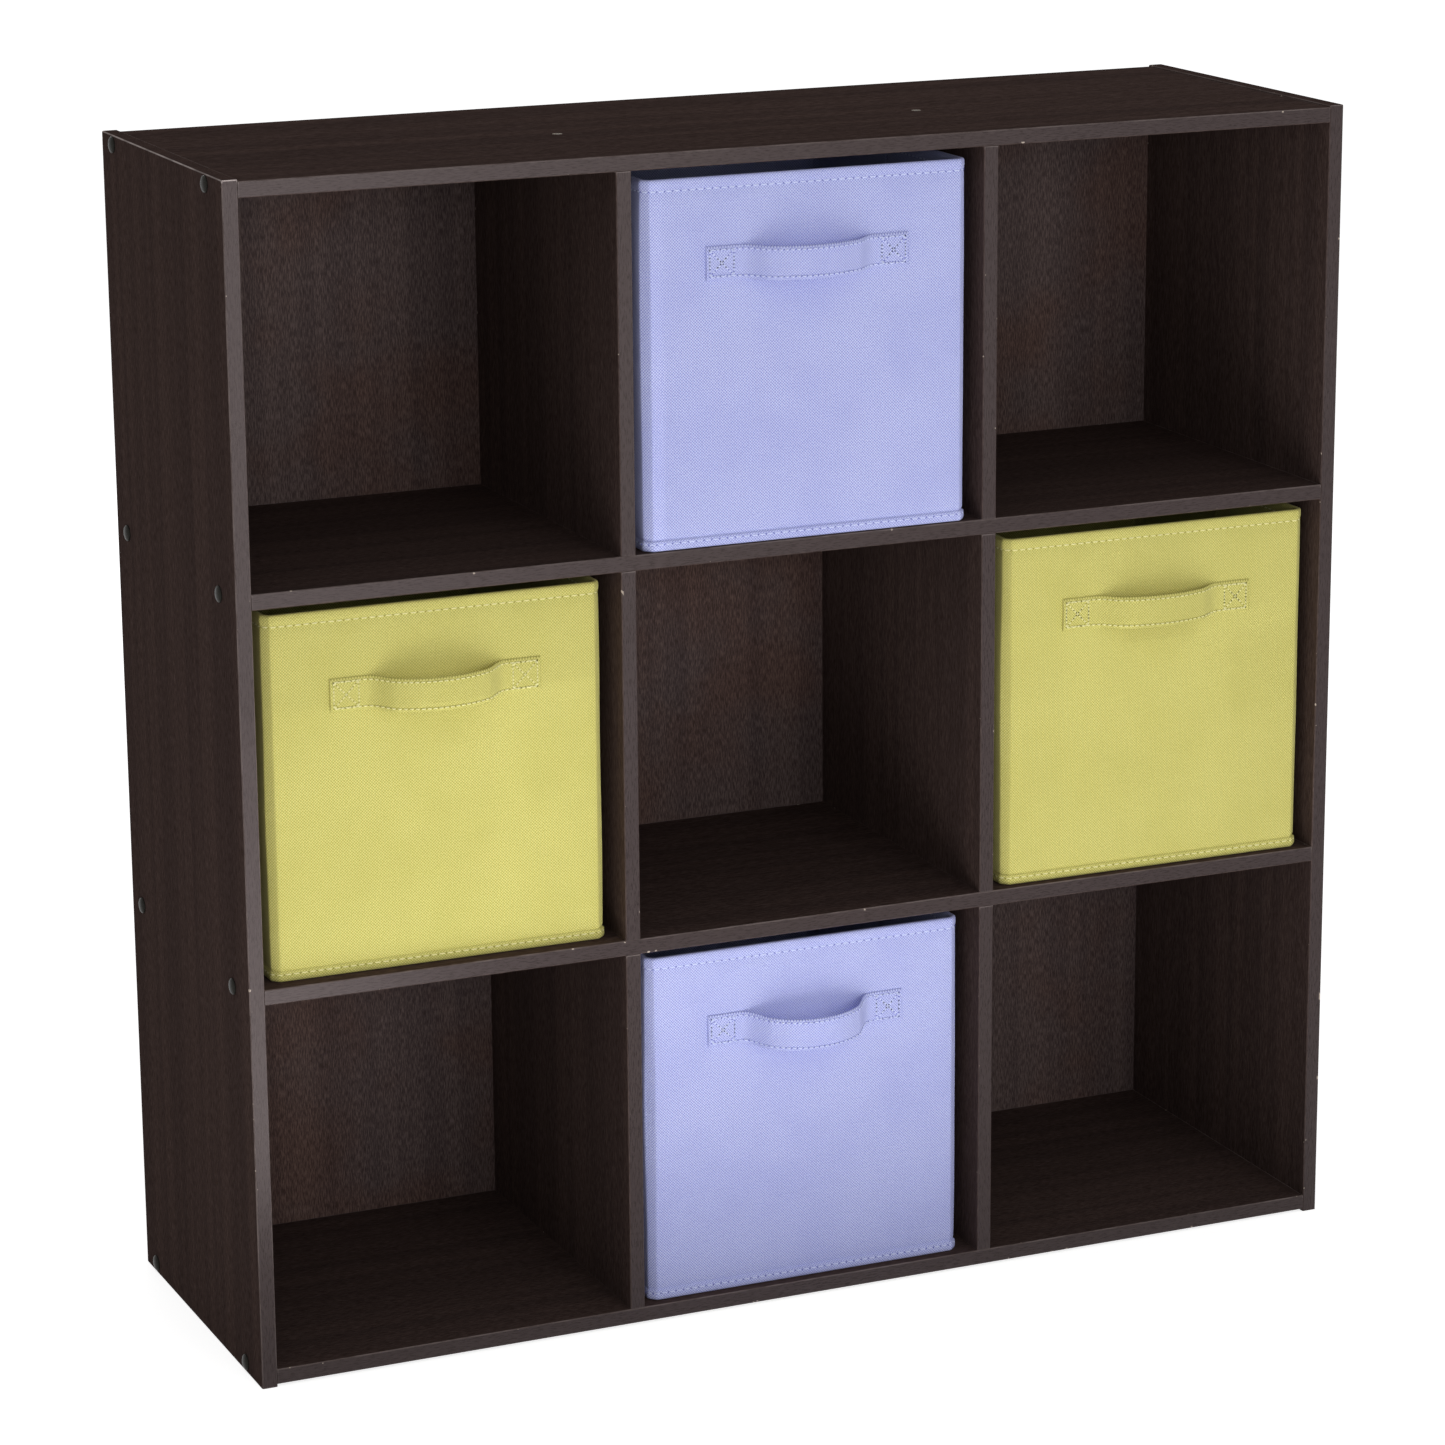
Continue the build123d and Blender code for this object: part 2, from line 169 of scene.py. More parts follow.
class Shader:
    """Short way to write the nodes of a material or of the world."""

    def __init__(self, owner):
        owner.use_nodes = True
        self.owner = owner
        self.tree = owner.node_tree

    @property
    def surface(self):
        """Inputs of the plain surface shader."""
        return self.tree.nodes["Principled BSDF"].inputs

    def finish(self, shader):
        """Send a shader to the output in place of the plain one."""
        output = next(node for node in self.tree.nodes if "Output" in node.bl_idname)
        self.tree.links.new(shader, output.inputs["Surface"])

    def feed(self, socket, value):
        """Link a socket to another, or set it to a fixed value."""
        if isinstance(value, bpy.types.NodeSocket):
            self.tree.links.new(value, socket)
        else:
            socket.default_value = value

    def node(self, kind, inputs, **settings):
        """Node with its settings and its inputs, which are given by name or by number."""
        made = self.tree.nodes.new("ShaderNode" + kind)
        for name, value in settings.items():
            setattr(made, name, value)
        for name, value in inputs.items():
            self.feed(made.inputs[name], value)
        return made.outputs

    def math(self, operation, *values):
        return self.node("Math", dict(enumerate(values)), operation=operation)[0]

    def vector(self, operation, *values):
        return self.node("VectorMath", dict(enumerate(values)), operation=operation)[0]

    def split(self, vector):
        return self.node("SeparateXYZ", {0: vector})

    def mix(self, factor, first, second, blend="MIX"):
        return self.node("Mix", {0: factor, 6: first, 7: second}, data_type="RGBA", blend_type=blend)[2]

    def step(self, value, low, high, first=0.0, second=1.0):
        """Smooth change from first at low to second at high."""
        inputs = {0: value, 1: low, 2: high, 3: first, 4: second}
        return self.node("MapRange", inputs, interpolation_type="SMOOTHSTEP")[0]

    def noise(self, vector, scale, detail=2.0, roughness=0.5):
        inputs = {"Vector": vector, "Scale": scale, "Detail": detail, "Roughness": roughness}
        return self.node("TexNoise", inputs)["Fac"]

    def bump(self, height, distance, strength=1.0):
        inputs = {"Height": height, "Distance": distance, "Strength": strength}
        self.feed(self.surface["Normal"], self.node("Bump", inputs)["Normal"])

    def seen(self):
        """1 for what the camera sees directly, in a reflection or through something, otherwise 0."""
        path = self.node("LightPath", {})
        reflected = self.math("MAXIMUM", path["Is Glossy Ray"], path["Is Transmission Ray"])
        return self.math("MAXIMUM", path["Is Camera Ray"], reflected)

    def place(self):
        """Position on the piece, in metres."""
        return self.node("TexCoord", {})["Object"]

    def cloth_place(self):
        """Position along and across the cloth, in metres."""
        return self.node("TexCoord", {})["UV"]


def new_material(name):
    return Shader(bpy.data.materials.new(name))


def colour(red, green, blue):
    return (red, green, blue, 1.0)


def grain(shader, along):
    """Wood grain along one axis: broad figure, short strokes and pores, each from 0 to 1."""
    long_stretch, short_stretch = [1.0, 1.0, 1.0], [1.0, 1.0, 1.0]
    long_stretch[along] = 0.02
    short_stretch[along] = 0.12
    place = shader.vector("MULTIPLY", shader.place(), tuple(long_stretch))
    figure = shader.noise(place, 60.0, 4.0, 0.6)
    place = shader.vector("MULTIPLY", shader.place(), tuple(short_stretch))
    strokes = shader.noise(place, 1300.0, 4.0, 0.62)
    pores = shader.step(shader.noise(place, 2000.0, 2.0, 0.6), 0.57, 0.72)
    return figure, strokes, pores


def edge_distance(shader, low, high):
    """Distance from a point on a board to the board's nearest edge."""
    middle = tuple((low + high) / 2)
    half = tuple((high - low) / 2)
    inward = shader.vector("ABSOLUTE", shader.vector("SUBTRACT", shader.place(), middle))
    x, y, z = shader.split(shader.vector("SUBTRACT", half, inward))
    lesser, greater = shader.math("MINIMUM", x, y), shader.math("MAXIMUM", x, y)
    return shader.math("MAXIMUM", lesser, shader.math("MINIMUM", greater, z))


def facing_back(shader, low, high):
    """How far a face looks to the back, from 0 at low to 1 at high."""
    return shader.step(shader.split(shader.node("NewGeometry", {})["Normal"])[1], low, high)


def laminate(name, along, wear_and_highlight):
    """Dark espresso wood-grain laminate with a glossier front band, pale edges that are partly rubbed
    wear and partly a painted highlight along the top edge, and a few chips.
    """
    shader = new_material(name + "_laminate")
    low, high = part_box(name)
    figure, strokes, pores = grain(shader, along)
    broad = shader.step(figure, 0.3, 0.72)
    dark = shader.mix(broad, colour(0.0415, 0.0264, 0.0233), colour(0.053, 0.0338, 0.0287))
    pale = shader.mix(broad, colour(0.0862, 0.0591, 0.054), colour(0.117, 0.0783, 0.07))
    tone = shader.mix(shader.step(strokes, 0.34, 0.7), dark, pale)
    tone = shader.mix(shader.math("MULTIPLY", pores, 0.35), tone, colour(0.02, 0.013, 0.011))
    streaks = shader.step(strokes, 0.3, 0.7)
    band = shader.mix(streaks, colour(0.0225, 0.014, 0.0137), colour(0.032, 0.0207, 0.0204))
    front_facing = shader.math("SUBTRACT", 1.0, facing_back(shader, -0.95, -0.6))
    tone = shader.mix(front_facing, tone, band)

    edge = edge_distance(shader, low, high)
    height = shader.split(shader.place())[2]
    # Pale line within a millimetre of the edges, strongest at the top edge: partly rubbed wear, partly a
    # painted highlight where light catches the top edge
    near_top = shader.step(height, high.z - 0.003, high.z - 0.001, 0.2, 1.0)
    patches = shader.step(shader.noise(shader.place(), 38.0, 3.0), 0.36, 0.6, 0.45 * wear_and_highlight, wear_and_highlight)
    wear_and_highlight_line = shader.math("MULTIPLY", near_top, patches)
    wear_and_highlight_line = shader.math("MULTIPLY", shader.step(edge, 0.0004, 0.0011, 1.0, 0.0), wear_and_highlight_line)
    tone = shader.mix(wear_and_highlight_line, tone, colour(0.55, 0.47, 0.45))
    spots = shader.step(shader.noise(shader.place(), 170.0, 1.0), 0.74, 0.77)
    chips = shader.math("MULTIPLY", shader.step(edge, 0.0008, 0.0022, 1.0, 0.0), spots)
    tone = shader.mix(chips, tone, colour(0.5, 0.42, 0.35))

    shader.feed(shader.surface["Base Color"], tone)
    shader.feed(shader.surface["Roughness"], shader.step(strokes, 0.2, 0.8, 0.24, 0.34))
    gloss = shader.math("MULTIPLY", front_facing, shader.step(strokes, 0.3, 0.7, 0.29, 0.41))
    shader.feed(shader.surface["Specular IOR Level"], gloss)
    shader.surface["Specular Tint"].default_value = colour(1.0, 0.87, 0.86)
    relief = shader.math("SUBTRACT", strokes, shader.math("MULTIPLY", pores, 0.6))
    shader.bump(relief, 0.00014, shader.step(front_facing, 0.0, 1.0, 0.6, 0.15))
    return shader.owner


def hardboard(name):
    """Thin back board: printed upright grain in front, plain brown fibre behind."""
    shader = new_material(name + "_hardboard")
    figure, strokes, pores = grain(shader, 2)
    broad = shader.step(figure, 0.3, 0.7)
    dark = shader.mix(broad, colour(0.037, 0.025, 0.0242), colour(0.052, 0.0352, 0.0324))
    pale = shader.mix(broad, colour(0.104, 0.0745, 0.072), colour(0.138, 0.0995, 0.0935))
    tone = shader.mix(shader.step(strokes, 0.38, 0.66), dark, pale)
    tone = shader.mix(shader.math("MULTIPLY", pores, 0.4), tone, colour(0.025, 0.015, 0.013))
    fibre = shader.noise(shader.place(), 260.0, 6.0, 0.7)
    cloudy = shader.noise(shader.place(), 9.0, 3.0, 0.55)
    warm = shader.step(cloudy, 0.4, 0.66, 0.0, 0.85)
    tone = shader.mix(warm, tone, colour(1.02, 0.84, 0.74), "MULTIPLY")
    raw = shader.mix(fibre, colour(0.16, 0.09, 0.048), colour(0.33, 0.205, 0.118))
    raw = shader.mix(shader.step(cloudy, 0.3, 0.7, 0.0, 0.4), raw, colour(0.2, 0.118, 0.066))
    behind = facing_back(shader, -0.3, 0.3)
    shader.feed(shader.surface["Base Color"], shader.mix(behind, tone, raw))
    shader.feed(shader.surface["Roughness"], shader.step(fibre, 0.2, 0.8, 0.5, 0.68))
    shader.surface["Specular IOR Level"].default_value = 0.06
    shader.bump(shader.mix(behind, strokes, fibre), 0.00015, 0.6)
    return shader.owner


def cap_plastic():
    """Dark moulded plastic with a faint sheen and fine scuffs."""
    shader = new_material("cap_plastic")
    scuffs = shader.noise(shader.place(), 900.0, 4.0, 0.65)
    tone = shader.mix(scuffs, colour(0.02, 0.019, 0.016), colour(0.038, 0.036, 0.031))
    shader.feed(shader.surface["Base Color"], tone)
    shader.feed(shader.surface["Roughness"], shader.step(scuffs, 0.3, 0.7, 0.28, 0.42))
    shader.surface["Specular IOR Level"].default_value = 0.07
    shader.bump(scuffs, 0.00006, 0.5)
    return shader.owner


def steel(name, pale, dark, roughness):
    """Plated steel with a fine brushed grain, dull at a low angle."""
    shader = new_material(name)
    place = shader.vector("MULTIPLY", shader.place(), (1.0, 0.1, 1.0))
    brushed = shader.noise(place, 2600.0, 3.0, 0.6)
    shader.feed(shader.surface["Base Color"], shader.mix(brushed, dark, pale))
    shader.feed(shader.surface["Roughness"], shader.step(brushed, 0.2, 0.8, roughness, roughness + 0.2))
    shader.surface["Metallic"].default_value = 1.0
    shader.surface["Specular Tint"].default_value = colour(0.34, 0.3, 0.27)
    shader.bump(brushed, 0.00003, 0.4)
    return shader.owner


def beech():
    """Plain wood of the dowels."""
    shader = new_material("dowel_beech")
    figure, strokes, pores = grain(shader, 2)
    tone = shader.mix(strokes, colour(0.42, 0.27, 0.15), colour(0.6, 0.43, 0.27))
    shader.feed(shader.surface["Base Color"], shader.mix(pores, tone, colour(0.25, 0.14, 0.07)))
    shader.surface["Roughness"].default_value = 0.6
    shader.bump(figure, 0.0001, 0.5)
    return shader.owner


def pressed_board():
    """Grey-brown board that stiffens the drawers, with flecks of fibre."""
    shader = new_material("stiffening_board")
    place = shader.vector("MULTIPLY", shader.place(), (1.0, 0.35, 1.0))
    fibre = shader.noise(place, 700.0, 5.0, 0.7)
    cloudy = shader.noise(shader.place(), 24.0, 3.0)
    tone = shader.mix(shader.step(fibre, 0.25, 0.75), colour(0.2, 0.165, 0.13), colour(0.36, 0.31, 0.25))
    tone = shader.mix(shader.step(cloudy, 0.35, 0.65, 0.0, 0.35), tone, colour(0.25, 0.2, 0.155))
    shader.feed(shader.surface["Base Color"], tone)
    shader.feed(shader.surface["Roughness"], shader.step(fibre, 0.2, 0.8, 0.75, 0.9))
    shader.bump(fibre, 0.00015, 0.6)
    return shader.owner


def bonded_cloth(name, pale, deep):
    """Bonded cloth with a fine, slightly uneven embossed cross-hatch whose grooves carry painted shade,
    plus random darker fibres and patches.
    """
    shader = new_material(name)
    u, v, _ = shader.split(shader.cloth_place())
    per_metre = math.pi / (hatch_pitch * math.sqrt(2))
    rising = shader.math("MULTIPLY", shader.math("ADD", u, v), per_metre)
    falling = shader.math("MULTIPLY", shader.math("SUBTRACT", u, v), per_metre)
    pillow = shader.math(
        "MULTIPLY",
        shader.math("ABSOLUTE", shader.math("SINE", rising)),
        shader.math("ABSOLUTE", shader.math("SINE", falling)),
    )
    pillow = shader.math("POWER", pillow, 0.6)
    uneven = shader.step(shader.noise(shader.cloth_place(), 800.0, 1.0), 0.25, 0.75, -0.15, 0.15)
    fibres = shader.noise(shader.cloth_place(), 2400.0, 4.0, 0.7)
    patches = shader.noise(shader.cloth_place(), 16.0, 4.0, 0.6)
    # Painted shade: the grooves between the embossed pillows get the deep colour, the raised pillows the
    # pale one
    tone = shader.mix(shader.step(shader.math("ADD", pillow, uneven), 0.2, 0.8), deep, pale)
    tone = shader.mix(shader.step(fibres, 0.3, 0.75, 0.2, 0.0), tone, deep)
    tone = shader.mix(shader.step(patches, 0.35, 0.7, 0.0, 0.15), tone, deep)
    shader.feed(shader.surface["Base Color"], tone)
    shader.surface["Roughness"].default_value = 0.85
    shader.surface["Specular IOR Level"].default_value = 0.15
    shader.surface["Sheen Weight"].default_value = 0.08
    shader.surface["Sheen Roughness"].default_value = 0.5
    relief = shader.math("ADD", pillow, shader.math("MULTIPLY", fibres, 0.35))
    shader.bump(relief, 0.00025, 0.6)
    return shader.owner


def thread(name, pale, deep, hole_shade):
    """Sewing thread with its twist, and painted shade at the needle holes between its stitches."""
    shader = new_material(name)
    along, depth, _ = shader.split(shader.cloth_place())
    twist = shader.math("SINE", shader.math("MULTIPLY", along, twist_rate))
    tone = shader.mix(shader.step(twist, -1.0, 1.0), deep, pale)
    # Painted shade on the needle-hole discs, whose cloth places are marked with 1
    shader.feed(shader.surface["Base Color"], shader.mix(depth, tone, hole_shade))
    shader.surface["Roughness"].default_value = 0.7
    shader.surface["Specular IOR Level"].default_value = 0.1
    shader.bump(twist, 0.00005, 0.5)
    return shader.owner


def floor_material():
    """Pale floor that reads as white where nothing shades it."""
    shader = new_material("floor")
    speck = shader.noise(shader.place(), 40.0, 3.0)
    tone = shader.mix(speck, colour(0.85, 0.85, 0.85), colour(0.87, 0.87, 0.87))
    diffuse = shader.node("BsdfDiffuse", {"Color": tone})[0]
    lift = shader.node("Emission", {"Strength": shader.math("MULTIPLY", shader.seen(), floor_lift)})[0]
    shader.finish(shader.node("AddShader", {0: diffuse, 1: lift})[0])
    return shader.owner


class Sewing:
    """Vertices, faces and cloth places of one mesh, gathered piece by piece."""

    def __init__(self):
        self.points = []
        self.faces = []
        self.places = []

    def grid(self, rows, places):
        """Surface through rows of points. Returns the number of its first vertex."""
        start = len(self.points)
        width = len(rows[0])
        for row, row_places in zip(rows, places):
            self.points.extend(row)
            self.places.extend(row_places)
        for i in range(len(rows) - 1):
            here = start + i * width
            there = here + width
            for j in range(width - 1):
                self.faces.append((here + j, here + j + 1, there + j + 1, there + j))
        return start

    def needle_hole_shade(self, middle, along, normal):
        """Small disc of painted shade where the thread goes into the cloth."""
        across = along.cross(normal).normalized()
        start = len(self.points)
        self.points.append(middle)
        for side in range(thread_sides):
            turn = 2 * math.pi * side / thread_sides
            spoke = along * math.cos(turn) + across * math.sin(turn)
            self.points.append(middle + spoke * needle_shade_radius)
        self.places.extend([(0.0, 1.0)] * (thread_sides + 1))
        for side in range(thread_sides):
            self.faces.append((start, start + 1 + (side + 1) % thread_sides, start + 1 + side))

    def stitch(self, begin, end, normal):
        """One stitch: a short arched thread whose ends go into the cloth."""
        along = end - begin
        across = along.cross(normal).normalized()
        rows, places = [], []
        for share, lift, size in stitch_shape:
            middle = begin + along * share + normal * (lift * thread_radius)
            ring = []
            for side in range(thread_sides + 1):
                turn = 2 * math.pi * side / thread_sides
                spoke = across * math.cos(turn) + normal * math.sin(turn)
                ring.append(middle + spoke * (size * thread_radius))
            rows.append(ring)
            places.append([(share * along.length, 0.0)] * (thread_sides + 1))
        self.grid(rows, places)

    def seam(self, points, normals, pitch, length):
        """Row of stitches along a line of points."""
        run = [0.0]
        for before, after in zip(points, points[1:]):
            run.append(run[-1] + (after - before).length)
        count = max(1, round(run[-1] / pitch))

        def at(distance):
            index = max(i for i in range(len(run) - 1) if run[i] <= distance or i == 0)
            share = (distance - run[index]) / max(run[index + 1] - run[index], 1e-9)
            place = points[index].lerp(points[index + 1], share)
            return place, normals[index].lerp(normals[index + 1], share).normalized()

        for number in range(count):
            middle = (number + 0.5) * run[-1] / count
            begin, normal = at(middle - length / 2)
            end, _ = at(middle + length / 2)
            self.stitch(begin, end, normal)
            along = (end - begin).normalized()
            hole_shade = end + along * (pitch - length) / 2 + normal * needle_shade_lift
            self.needle_hole_shade(hole_shade, along, normal)

    def piece(self, name, material, body, replaced=()):
        """Finished object that rides on a body."""
        mesh = bpy.data.meshes.new(name)
        mesh.from_pydata([tuple(point) for point in self.points], [], self.faces)
        mesh.polygons.foreach_set("use_smooth", [True] * len(mesh.polygons))
        layer = mesh.uv_layers.new(name="cloth")
        for loop in mesh.loops:
            layer.data[loop.index].uv = self.places[loop.vertex_index]
        mesh.materials.append(material)
        mesh.validate()
        made = bpy.data.objects.new(name, mesh)
        bpy.context.scene.collection.objects.link(made)
        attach(made, body)
        if replaced:
            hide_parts(*replaced)


def ease(share):
    """Smooth change from 0 to 1."""
    share = min(max(share, 0.0), 1.0)
    return share * share * (3 - 2 * share)


def outline(half_width, half_depth):
    """Places round a drawer with its softly bevelled corners, from the middle of its back.

    Each place is (point, outward normal, share of a corner), and the distances run along them.
    """
    tangent = bevel_rounding * math.tan(math.radians(22.5))
    crease_points = (0.006, 0.003, 0.0017, 0.0008, 0.0, -0.0008, -0.0017, -0.003, -0.006)
    places = [(Vector((0, half_depth, 0)), Vector((0, 1, 0)), 0.0)]

    def run_to(target, normal, share):
        start = places[-1][0]
        count = max(1, round((target - start).length / wall_step))
        for i in range(1, count + 1):
            places.append((start.lerp(target, i / count), normal, share))

    def direction(degrees):
        return Vector((math.cos(math.radians(degrees)), math.sin(math.radians(degrees)), 0))

    for side_x, side_y, first in ((1, 1, 90), (1, -1, 0), (-1, -1, -90), (-1, 1, -180)):
        if side_x != side_y:
            for step in crease_points:
                run_to(Vector((side_x * half_width, side_x * step, 0)), direction(first), 0.0)
        outer = Vector((side_x * half_width, side_y * half_depth, 0))
        tips = [outer - direction(first - 90) * corner_bevel, outer - direction(first) * corner_bevel]
        for number, tip in enumerate(tips):
            begin = first - 45 * number
            ahead = direction(begin - 90)
            run_to(tip - ahead * tangent, direction(begin), float(number))
            middle = tip - ahead * tangent - direction(begin) * bevel_rounding
            for i in range(1, bevel_steps + 1):
                spoke = direction(begin - 45 * i / bevel_steps)
                bend = i / bevel_steps if number == 0 else 1 - i / bevel_steps
                places.append((middle + spoke * bevel_rounding, spoke, bend))
    run_to(Vector((0, half_depth, 0)), Vector((0, 1, 0)), 0.0)
    distances = [0.0]
    for before, after in zip(places, places[1:]):
        distances.append(distances[-1] + (after[0] - before[0]).length)
    return places, distances


def wall_profile(height):
    """Section of a drawer's cloth as (outset, height, slack).

    It runs from under the base up the outside, over the rim and back down the inside.
    """
    hem = [
        (-base_reach, 0.0003),
        (-0.0012, 0.0002),
        (0.0002, 0.0003),
        (0.0007, 0.0012),
        (0.00098, 0.003),
        (0.00092, 0.0046),
        (0.0006, hem_stitch_height),
        (0.00088, 0.0066),
        (0.0007, 0.0076),
        (-0.0004, 0.0081),
        (-0.0008, 0.0086),
        (-0.0003, 0.0094),
        (0.0, 0.0104),
    ]
    rim = [
        (0.0, -0.0104),
        (-0.0005, -fold_depth),
        (0.0002, -0.0072),
        (0.00042, -0.0048),
        (0.00036, -0.0022),
        (0.0, -0.0008),
        (-0.0008, -0.0001),
        (-0.002, 0.0),
        (-0.0032, -0.0001),
        (-0.004, -0.0008),
        (-0.0043, -0.003),
        (-0.0042, -0.0076),
        (-0.0039, -fold_depth),
        (lining_outset, -0.0100),
    ]
    rim = [(outset, height + drop) for outset, drop in rim]
    base = [(-0.0043, 0.0014), (-0.0055, 0.0009), (-base_reach, cloth)]

    wall = []
    low, high = hem[-1][1], rim[0][1]
    for i in range(1, wall_rows):
        slack = math.sin(math.pi * i / wall_rows) ** slack_fullness
        wall.append((0.0, low + (high - low) * i / wall_rows, slack))
    lining = []
    low, high = lining_foot, rim[-1][1]
    for i in range(1, lining_rows + 1):
        lining.append((lining_outset, high + (low - high) * i / lining_rows))

    def taut(places):
        return [(outset, level, 0.0) for outset, level in places]

    return taut(hem) + wall + taut(rim + lining + base)


def drawer_shell(name, cloth_material, thread_material):
    """Sewn cloth of one drawer with its hems, in place of the cover, the lining and the base cloth."""
    low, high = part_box(name + "_cover")
    middle = (low + high) / 2
    half_width = (high.x - low.x) / 2 - hem_thickness
    half_depth = (high.y - low.y) / 2 - hem_thickness
    height = high.z - low.z
    stitch_level = height - fold_depth
    places, distances = outline(half_width, half_depth)
    profile = wall_profile(height)
    seed = middle * seed_spread

    def point(index, outset, level, slack):
        place, normal, corner = places[index]
        spot = Vector((place.x * slack_waves, place.y * slack_waves, level * slack_waves))
        looseness = front_slack if normal.y < -0.5 else wall_slack
        wander = slack_mean + slack_spread * noise.noise(spot + seed)
        bulge = slack * (1 - corner) * looseness * wander
        puff = corner_puff * corner * max(outset, 0.0) if level < hem_height else 0.0
        crease = math.exp(-((place.y / crease_half_width) ** 2)) if abs(normal.x) > 0.9 else 0.0
        is_lining = outset < lining_limit and level < stitch_level
        crease *= crease_depth_inside if is_lining else -crease_depth_outside * slack
        flat = place + normal * (max(outset, -bevel_rounding) + bulge + puff + crease)
        flat *= 1 + min(outset + bevel_rounding, 0.0) / half_width
        return flat + Vector((middle.x, middle.y, low.z + level))

    shell = Sewing()
    rows, row_places = [], []
    run = 0.0
    for number, (outset, level, slack) in enumerate(profile):
        if number:
            before = profile[number - 1]
            run += math.hypot(outset - before[0], level - before[1])
        rows.append([point(i, outset, level, slack) for i in range(len(places))])
        row_places.append([(distance, run) for distance in distances])
    start = shell.grid(rows, row_places)
    count = len(places)
    under = [start + i for i in range(count - 1)]
    inside = [start + (len(rows) - 1) * count + i for i in range(count - 1)]
    shell.faces.append(tuple(under))
    shell.faces.append(tuple(reversed(inside)))
    replaced = [name + end for end in ("_cover", "_lining", "_base_cloth")]
    shell.piece(name + "_cloth", cloth_material, name, replaced)

    seams = Sewing()
    normals = [normal for _, normal, _ in places]
    outer_rows = ((rim_stitch_outset, stitch_level), (hem_stitch_outset, hem_stitch_height))
    for outset, level in outer_rows:
        line = [point(i, outset, level, 0.0) for i in range(count)]
        seams.seam(line, normals, *hem_stitch)
    inner = [point(i, lining_outset, stitch_level, 0.0) for i in range(count)]
    seams.seam(inner, [-normal for normal in normals], *hem_stitch)
    seams.piece(name + "_hem_stitches", thread_material, name)


def strap_line(length, bow, sag):
    """Places along a strap as (sideways, outward, upward): its ends lie flat and its middle bows out."""
    inner = length / 2 - tab_length
    line = []
    for i in range(-strap_half_steps, strap_half_steps + 1):
        x = i / strap_half_steps * length / 2
        from_tab = max(inner - abs(x), 0.0)
        share = ease(from_tab / strap_bend) * (1 - (1 - from_tab / inner) ** strap_arch)
        line.append((x, bow * share, -sag * share))
    return line


def strap_section(width):
    """Section of a strap as (across, out from its middle), round its rim."""
    half = width / 2
    thick = strap_thickness / 2
    face = []
    for i in range(strap_face_steps + 1):
        across = -half + width * i / strap_face_steps
        from_edge = half - abs(across)
        puff = strap_puff * ease((from_edge - strap_puff_inset) / strap_puff_rise)
        pinch = strap_pinch * math.exp(-(((from_edge - strap_stitch_inset) / strap_pinch_width) ** 2))
        rounding = thick * 0.75 * (1 - ease(from_edge / strap_rounding))
        face.append((across, thick + puff - pinch - rounding))
    back_half = half - strap_back_rounding
    back = [(half, -0.2 * thick), (back_half, -thick), (-back_half, -thick), (-half, -0.2 * thick)]
    return face + back + [face[0]]


def drawer_strap(name, cloth_material, thread_material, sag):
    """Strap handle with its sewn tabs, in place of the plain one."""
    low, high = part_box(name + "_handle")
    width = high.z - low.z
    length = high.x - low.x
    bow = high.y - low.y - strap_thickness
    origin = Vector(((low.x + high.x) / 2, high.y - strap_thickness / 2, (low.z + high.z) / 2))
    centres = [origin + Vector((x, -out, lift)) for x, out, lift in strap_line(length, bow, sag)]
    outward = []
    for i in range(len(centres)):
        before, after = centres[max(i - 1, 0)], centres[min(i + 1, len(centres) - 1)]
        along = (after - before).normalized()
        outward.append(up.cross(along).normalized() * -1)
    section = strap_section(width)
    strap = Sewing()
    rows, places = [], []
    run = 0.0
    for i, (centre, normal) in enumerate(zip(centres, outward)):
        if i:
            run += (centre - centres[i - 1]).length
        rows.append([centre + up * across + normal * out for across, out in section])
        places.append([(run, across + out) for across, out in section])
    start = strap.grid(rows, places)
    count = len(section)
    strap.faces.append(tuple(start + i for i in range(count - 1)))
    strap.faces.append(tuple(start + (len(rows) - 1) * count + i for i in reversed(range(count - 1))))
    strap.piece(name + "_strap", cloth_material, name, [name + "_handle"])

    seams = Sewing()
    lift = strap_thickness / 2 + thread_radius * 0.2
    for across in (width / 2 - strap_stitch_inset, strap_stitch_inset - width / 2):
        edge = [centre + up * across + normal * lift for centre, normal in zip(centres, outward)]
        seams.seam(edge[2:-2], outward[2:-2], *strap_stitch)
    half = box_stitch_size / 2
    for side in (-1, 1):
        middle = origin + Vector((side * (length - tab_length) / 2, -lift, 0))
        corners = []
        for x, z in ((-1, -1), (1, -1), (1, 1), (-1, 1)):
            corners.append(middle + Vector((x * half, 0, z * half)))
        for first, second in ((0, 1), (1, 2), (2, 3), (3, 0), (0, 2), (1, 3)):
            seams.seam([corners[first], corners[second]], [front, front], *box_stitch)
    seams.piece(name + "_strap_stitches", thread_material, name)


def turned_piece(name, material, replaced, profile, places, hexagons=()):
    """Group of like turned pieces: a profile of (radius, height) spun about each place's own axis.

    The rings of the profile whose numbers are in hexagons have six flats.
    """
    group = Sewing()
    for place, axis in places:
        turn = axis.to_track_quat("Z", "Y").to_matrix()
        rings, ring_places = [], []
        for number, (radius, height) in enumerate(profile):
            ring = []
            for i in range(round_steps + 1):
                angle = 2 * math.pi * i / round_steps
                spoke = Vector((math.cos(angle), math.sin(angle), 0))
                if number in hexagons:
                    from_flat = (angle + math.pi / 6) % (math.pi / 3) - math.pi / 6
                    spoke *= math.cos(math.pi / 6) / math.cos(from_flat)
                ring.append(place + turn @ (spoke * radius + Vector((0, 0, height))))
            rings.append(ring)
            ring_places.append([(radius, height)] * (round_steps + 1))
        group.grid(rings, ring_places)
    group.piece(name, material, "carcass", replaced)


